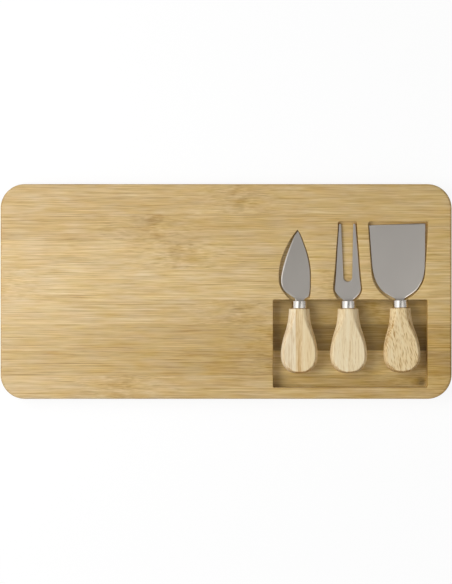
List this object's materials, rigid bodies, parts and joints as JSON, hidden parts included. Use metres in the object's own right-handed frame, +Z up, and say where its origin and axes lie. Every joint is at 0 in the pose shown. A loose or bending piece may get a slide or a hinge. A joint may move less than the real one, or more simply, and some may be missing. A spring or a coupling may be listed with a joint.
{
  "type": "cheese board set",
  "caption": "Rounded bamboo serving board with a routed pocket and blade recesses that hold a cheese knife, a fork and a spade with drop-shaped wooden handles.",
  "frame": {"origin": "under the middle of the board, on the surface that it stands on", "axes": "+X along the board towards the end with the tools, +Y across the board the way the blades point, +Z up out of the serving face"},
  "size_m": [0.38, 0.181, 0.0223],
  "materials": {
    "bamboo_pale": "flat-pressed bamboo, sanded and lightly oiled",
    "bamboo_honey": "flat-pressed bamboo, sanded and lightly oiled",
    "bamboo_brown": "flat-pressed steamed bamboo, sanded and lightly oiled",
    "blade_steel": "stamped stainless steel, polished to a satin mirror",
    "ferrule_steel": "drawn stainless steel, polished",
    "handle_pale": "turned rubberwood, sanded, thin clear lacquer",
    "handle_tan": "turned rubberwood of a darker stave, sanded, thin clear lacquer"
  },
  "bodies": {
    "board": {"lower_strip_1": "bamboo_honey", "lower_strip_2": "bamboo_brown", "lower_strip_3": "bamboo_honey", "lower_strip_4": "bamboo_pale", "lower_strip_5": "bamboo_honey", "lower_strip_6": "bamboo_brown", "lower_strip_7": "bamboo_pale", "lower_strip_8": "bamboo_honey", "core_strip_01": "bamboo_brown", "core_strip_02": "bamboo_honey", "core_strip_03": "bamboo_honey", "core_strip_04": "bamboo_brown", "core_strip_05": "bamboo_honey", "core_strip_06": "bamboo_honey", "core_strip_07": "bamboo_brown", "core_strip_08": "bamboo_honey", "core_strip_09": "bamboo_honey", "core_strip_10": "bamboo_brown", "core_strip_11": "bamboo_honey", "core_strip_12_back": "bamboo_honey", "core_strip_12_front": "bamboo_honey", "core_strip_13_back": "bamboo_brown", "core_strip_13_front": "bamboo_brown", "core_strip_14_back": "bamboo_honey", "core_strip_14_front": "bamboo_honey", "core_strip_15_back": "bamboo_honey", "core_strip_15_front": "bamboo_honey", "core_strip_16_back": "bamboo_brown", "core_strip_16_front": "bamboo_brown", "core_strip_17_back": "bamboo_honey", "core_strip_17_front": "bamboo_honey", "core_strip_18": "bamboo_honey", "upper_strip_1": "bamboo_honey", "upper_strip_2": "bamboo_honey", "upper_strip_3": "bamboo_pale", "upper_strip_4": "bamboo_pale", "upper_strip_5_left": "bamboo_honey", "upper_strip_5_right": "bamboo_honey", "upper_strip_6_left": "bamboo_brown", "upper_strip_6_right": "bamboo_brown", "upper_strip_7_left": "bamboo_brown", "upper_strip_7_right": "bamboo_brown", "upper_strip_8": "bamboo_honey"},
    "knife": {"knife_blade": "blade_steel", "knife_ferrule": "ferrule_steel", "knife_handle_left_stave": "handle_pale", "knife_handle_right_stave": "handle_tan"},
    "fork": {"fork_blade": "blade_steel", "fork_ferrule": "ferrule_steel", "fork_handle": "handle_pale"},
    "spade": {"spade_blade": "blade_steel", "spade_ferrule": "ferrule_steel", "spade_handle": "handle_pale"}
  },
  "joints": [
    {"name": "knife_lift", "type": "slide", "parent": "board", "child": "knife", "axis": [0, 0, 1], "range_m": [0, 0.06]},
    {"name": "fork_lift", "type": "slide", "parent": "board", "child": "fork", "axis": [0, 0, 1], "range_m": [0, 0.06]},
    {"name": "spade_lift", "type": "slide", "parent": "board", "child": "spade", "axis": [0, 0, 1], "range_m": [0, 0.06]}
  ]
}
